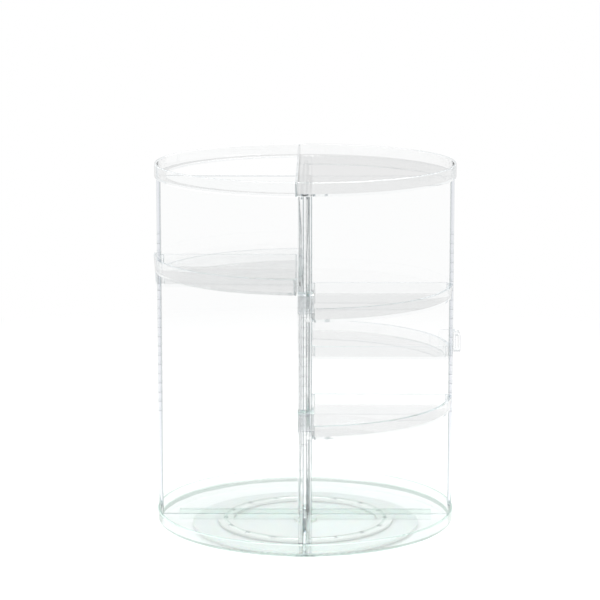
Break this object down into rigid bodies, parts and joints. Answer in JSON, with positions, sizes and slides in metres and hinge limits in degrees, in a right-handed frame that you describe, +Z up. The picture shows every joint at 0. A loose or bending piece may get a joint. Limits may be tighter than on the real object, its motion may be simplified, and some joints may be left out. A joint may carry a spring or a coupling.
{
  "type": "rotating makeup organizer",
  "caption": "Round turntable organizer with clear upright panels, quarter trays set at different heights and a ring-shaped top tray.",
  "frame": {"origin": "on the resting surface, under the middle of the turntable's axis", "axes": "+Z up along the turning axis, the front panel towards -Y, the right panel towards +X"},
  "size_m": [0.2358, 0.2358, 0.2855],
  "materials": {
    "clear_plastic": "polished clear styrene plastic",
    "foot_plastic": "milky moulded plastic",
    "bush_plastic": "plain acetal",
    "cage_plastic": "plain moulded plastic",
    "steel": "zinc-plated steel",
    "pad_rubber": "soft translucent rubber"
  },
  "bodies": {
    "foot": {"foot_disc": "foot_plastic", "anti_slip_pads": "pad_rubber", "pivot_bush": "bush_plastic"},
    "bearing": {"ball_cage": "cage_plastic", "bearing_balls": "steel"},
    "carousel": {"base_tray": "clear_plastic", "centre_column": "clear_plastic", "panel_front": "clear_plastic", "panel_back": "clear_plastic", "panel_left": "clear_plastic", "panel_right": "clear_plastic", "pivot_screw": "steel", "pivot_washer": "steel"},
    "top_tray": {"top_tray": "clear_plastic"},
    "tray_front_left": {"tray_front_left": "clear_plastic"},
    "tray_front_right_upper": {"tray_front_right_upper": "clear_plastic"},
    "tray_front_right_lower": {"tray_front_right_lower": "clear_plastic"},
    "tray_back_left": {"tray_back_left": "clear_plastic"},
    "tray_back_right": {"tray_back_right": "clear_plastic"}
  },
  "joints": [
    {"name": "carousel_spin", "type": "hinge", "parent": "foot", "child": "carousel", "pos_m": [0, 0, 0.006], "axis": [0, 0, 1], "continuous": true},
    {"name": "bearing_spin", "type": "hinge", "parent": "foot", "child": "bearing", "pos_m": [0, 0, 0.0047], "axis": [0, 0, 1], "continuous": true},
    {"name": "top_tray_lift", "type": "slide", "parent": "carousel", "child": "top_tray", "axis": [0, 0, 1], "range_m": [0, 0.03]},
    {"name": "front_left_height", "type": "slide", "parent": "carousel", "child": "tray_front_left", "axis": [0, 0, 1], "range_m": [-0.1168, 0.0219]},
    {"name": "front_right_upper_height", "type": "slide", "parent": "carousel", "child": "tray_front_right_upper", "axis": [0, 0, 1], "range_m": [-0.0292, 0.0365]},
    {"name": "front_right_lower_height", "type": "slide", "parent": "carousel", "child": "tray_front_right_lower", "axis": [0, 0, 1], "range_m": [-0.0146, 0.0219]},
    {"name": "back_left_height", "type": "slide", "parent": "carousel", "child": "tray_back_left", "axis": [0, 0, 1], "range_m": [-0.1022, 0.0365]},
    {"name": "back_right_height", "type": "slide", "parent": "carousel", "child": "tray_back_right", "axis": [0, 0, 1], "range_m": [-0.0511, 0.0876]}
  ],
  "couplings": [
    {"joint": "bearing_spin", "follows": "carousel_spin", "ratio": 0.5}
  ]
}
